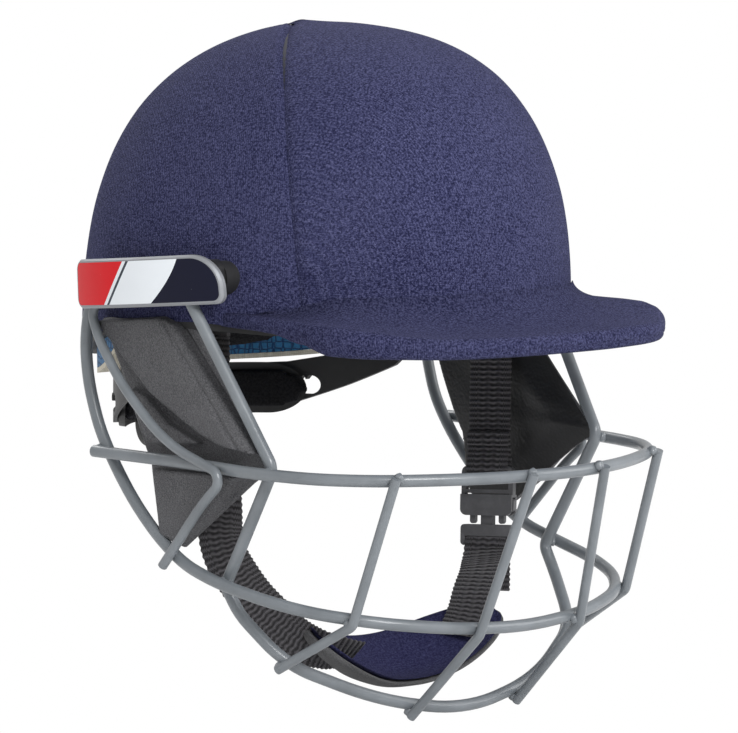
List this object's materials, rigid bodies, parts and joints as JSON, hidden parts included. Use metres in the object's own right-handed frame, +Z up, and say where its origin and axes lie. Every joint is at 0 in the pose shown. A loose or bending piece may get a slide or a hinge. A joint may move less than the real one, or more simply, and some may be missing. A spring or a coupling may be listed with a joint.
{
  "type": "cricket helmet",
  "caption": "Cloth-covered cricket helmet with a fixed peak, a welded wire faceguard, foam ear pads, a buckled chin strap and a sliding nape cradle.",
  "frame": {"origin": "centre of the head opening, level with the shell's rim over the ears", "axes": "+Z up towards the crown, -Y out of the face opening, +X to the wearer's left"},
  "size_m": [0.232, 0.2803, 0.3043],
  "materials": {
    "cloth": "knitted navy cloth",
    "shell": "moulded shell",
    "foam": "soft closed-cell foam",
    "pad": "moulded ear foam",
    "lining": "smooth lining",
    "wire": "grey dipped coating",
    "plate": "gloss plate with plain blocks of colour",
    "moulding": "moulded fitting",
    "rubber": "rubber",
    "steel": "zinc plated",
    "webbing": "ribbed webbing",
    "tape": "binding tape",
    "trim": "rim trim"
  },
  "bodies": {
    "helmet": {"brow_pad": "foam", "cover_front": "cloth", "cover_rear": "cloth", "crown_button": "cloth", "crown_pad_front": "foam", "crown_pad_rear": "foam", "ear_lining_left": "lining", "ear_lining_right": "lining", "ear_pad_left": "pad", "ear_pad_right": "pad", "foam_liner": "foam", "guard_inner_rod_left": "wire", "guard_inner_rod_right": "wire", "guard_lower_bar": "wire", "guard_middle_bar": "wire", "guard_mount_left": "moulding", "guard_mount_right": "moulding", "guard_nuts_left": "steel", "guard_nuts_right": "steel", "guard_outer_rod_left": "wire", "guard_outer_rod_right": "wire", "guard_screws_left": "steel", "guard_screws_right": "steel", "guard_side_wire_left": "wire", "guard_side_wire_right": "wire", "guard_spacers_left": "rubber", "guard_spacers_right": "rubber", "guard_top_bar": "wire", "guard_washers_left": "steel", "guard_washers_right": "steel", "hard_shell": "shell", "liner_tape": "tape", "nape_rivet_left": "steel", "nape_rivet_right": "steel", "nape_strap_left": "moulding", "nape_strap_right": "moulding", "occiput_pad": "foam", "peak_cover": "cloth", "rim_trim": "trim", "side_plate_left": "plate", "side_plate_right": "plate", "strap_rivet_left": "steel", "strap_rivet_right": "steel"},
    "chin_strap": {"strap_tab_left": "webbing", "strap_tab_right": "webbing", "upper_webbing": "webbing", "buckle_socket": "moulding", "right_webbing": "webbing", "chin_cup": "pad", "chin_cup_lining": "cloth", "lower_webbing": "webbing"},
    "plug": {"buckle_plug": "moulding"},
    "prong_front": {"buckle_prong_front": "moulding"},
    "prong_rear": {"buckle_prong_rear": "moulding"},
    "nape_slider": {"nape_cradle": "moulding", "nape_pad": "foam", "cradle_peg_left": "moulding", "cradle_peg_right": "moulding"}
  },
  "joints": [
    {"name": "strap_swing", "type": "hinge", "parent": "helmet", "child": "chin_strap", "pos_m": [0, -0.02, 0.012], "axis": [1, 0, 0], "range_deg": [-10, 18]},
    {"name": "buckle_release", "type": "slide", "parent": "chin_strap", "child": "plug", "axis": [-0.0851, -0.0774, -0.9934], "range_m": [0, 0.016], "deforming": ["lower_webbing"]},
    {"name": "prong_front_squeeze", "type": "hinge", "parent": "plug", "child": "prong_front", "pos_m": [0.08025, -0.03367, -0.10126], "axis": [-0.8773, -0.4667, 0.1115], "range_deg": [0, 8], "stiffness_Nm_per_rad": 0.05},
    {"name": "prong_rear_squeeze", "type": "hinge", "parent": "plug", "child": "prong_rear", "pos_m": [0.07364, -0.02134, -0.10165], "axis": [0.8773, 0.4667, -0.1115], "range_deg": [0, 8], "stiffness_Nm_per_rad": 0.05},
    {"name": "nape_adjust", "type": "slide", "parent": "helmet", "child": "nape_slider", "axis": [0, 1, 0], "range_m": [-0.012, 0]}
  ]
}
